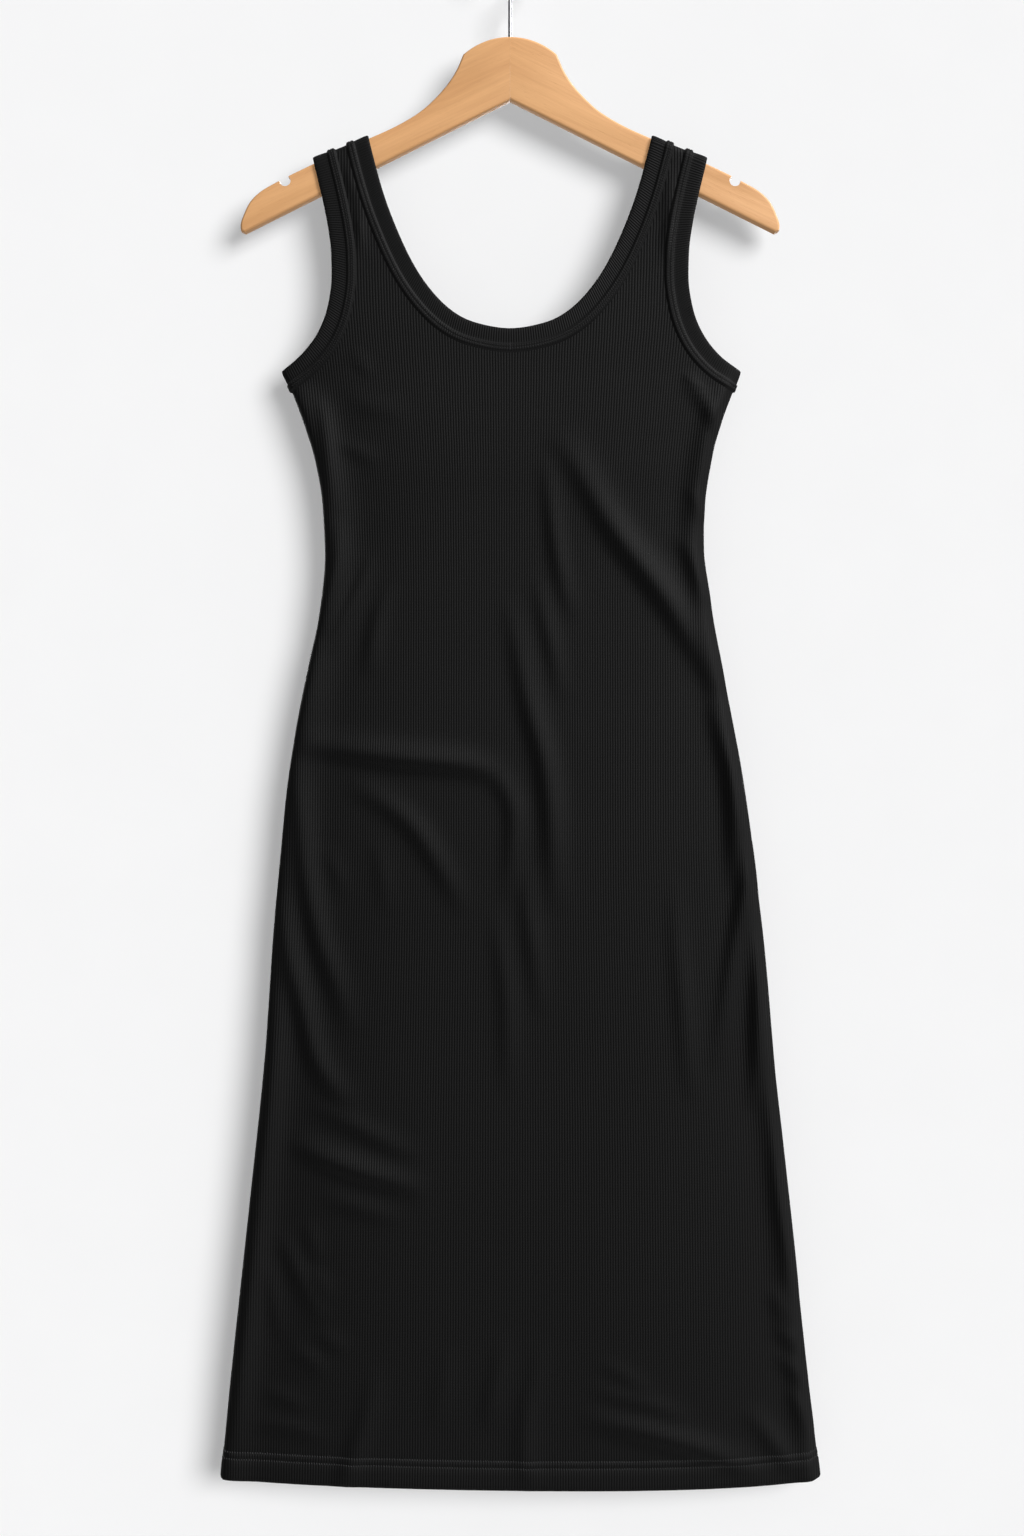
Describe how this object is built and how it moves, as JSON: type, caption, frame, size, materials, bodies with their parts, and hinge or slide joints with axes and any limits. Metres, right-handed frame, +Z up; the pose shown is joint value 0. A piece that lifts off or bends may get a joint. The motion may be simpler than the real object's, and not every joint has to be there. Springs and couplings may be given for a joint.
{
  "type": "sleeveless dress on a hanger",
  "caption": "Sleeveless rib-knit midi dress with a scoop neck and bound armholes, hanging flat on a wooden hanger with a wire hook.",
  "frame": {"origin": "inner top of the hook, where it sits on the top of a rail", "axes": "+Z up, -Y the front of the dress, +X to the viewer's right"},
  "size_m": [0.4936, 0.0463, 1.268],
  "materials": {
    "black_rib_knit": "fine vertical rib knit, near black, soft low sheen",
    "black_rib_binding": "rib binding with a raised welt, near black, soft low sheen",
    "beech": "light beech, satin clear lacquer",
    "steel_wire": "bright steel wire"
  },
  "bodies": {
    "root": {"front_panel": "black_rib_knit", "back_panel": "black_rib_knit", "neck_band_front": "black_rib_binding", "neck_band_back": "black_rib_binding", "armhole_band_front_left": "black_rib_binding", "armhole_band_front_right": "black_rib_binding", "armhole_band_back_left": "black_rib_binding", "armhole_band_back_right": "black_rib_binding", "hanger_arm_left": "beech", "hanger_arm_right": "beech", "hanger_hook": "steel_wire"}
  },
  "joints": []
}
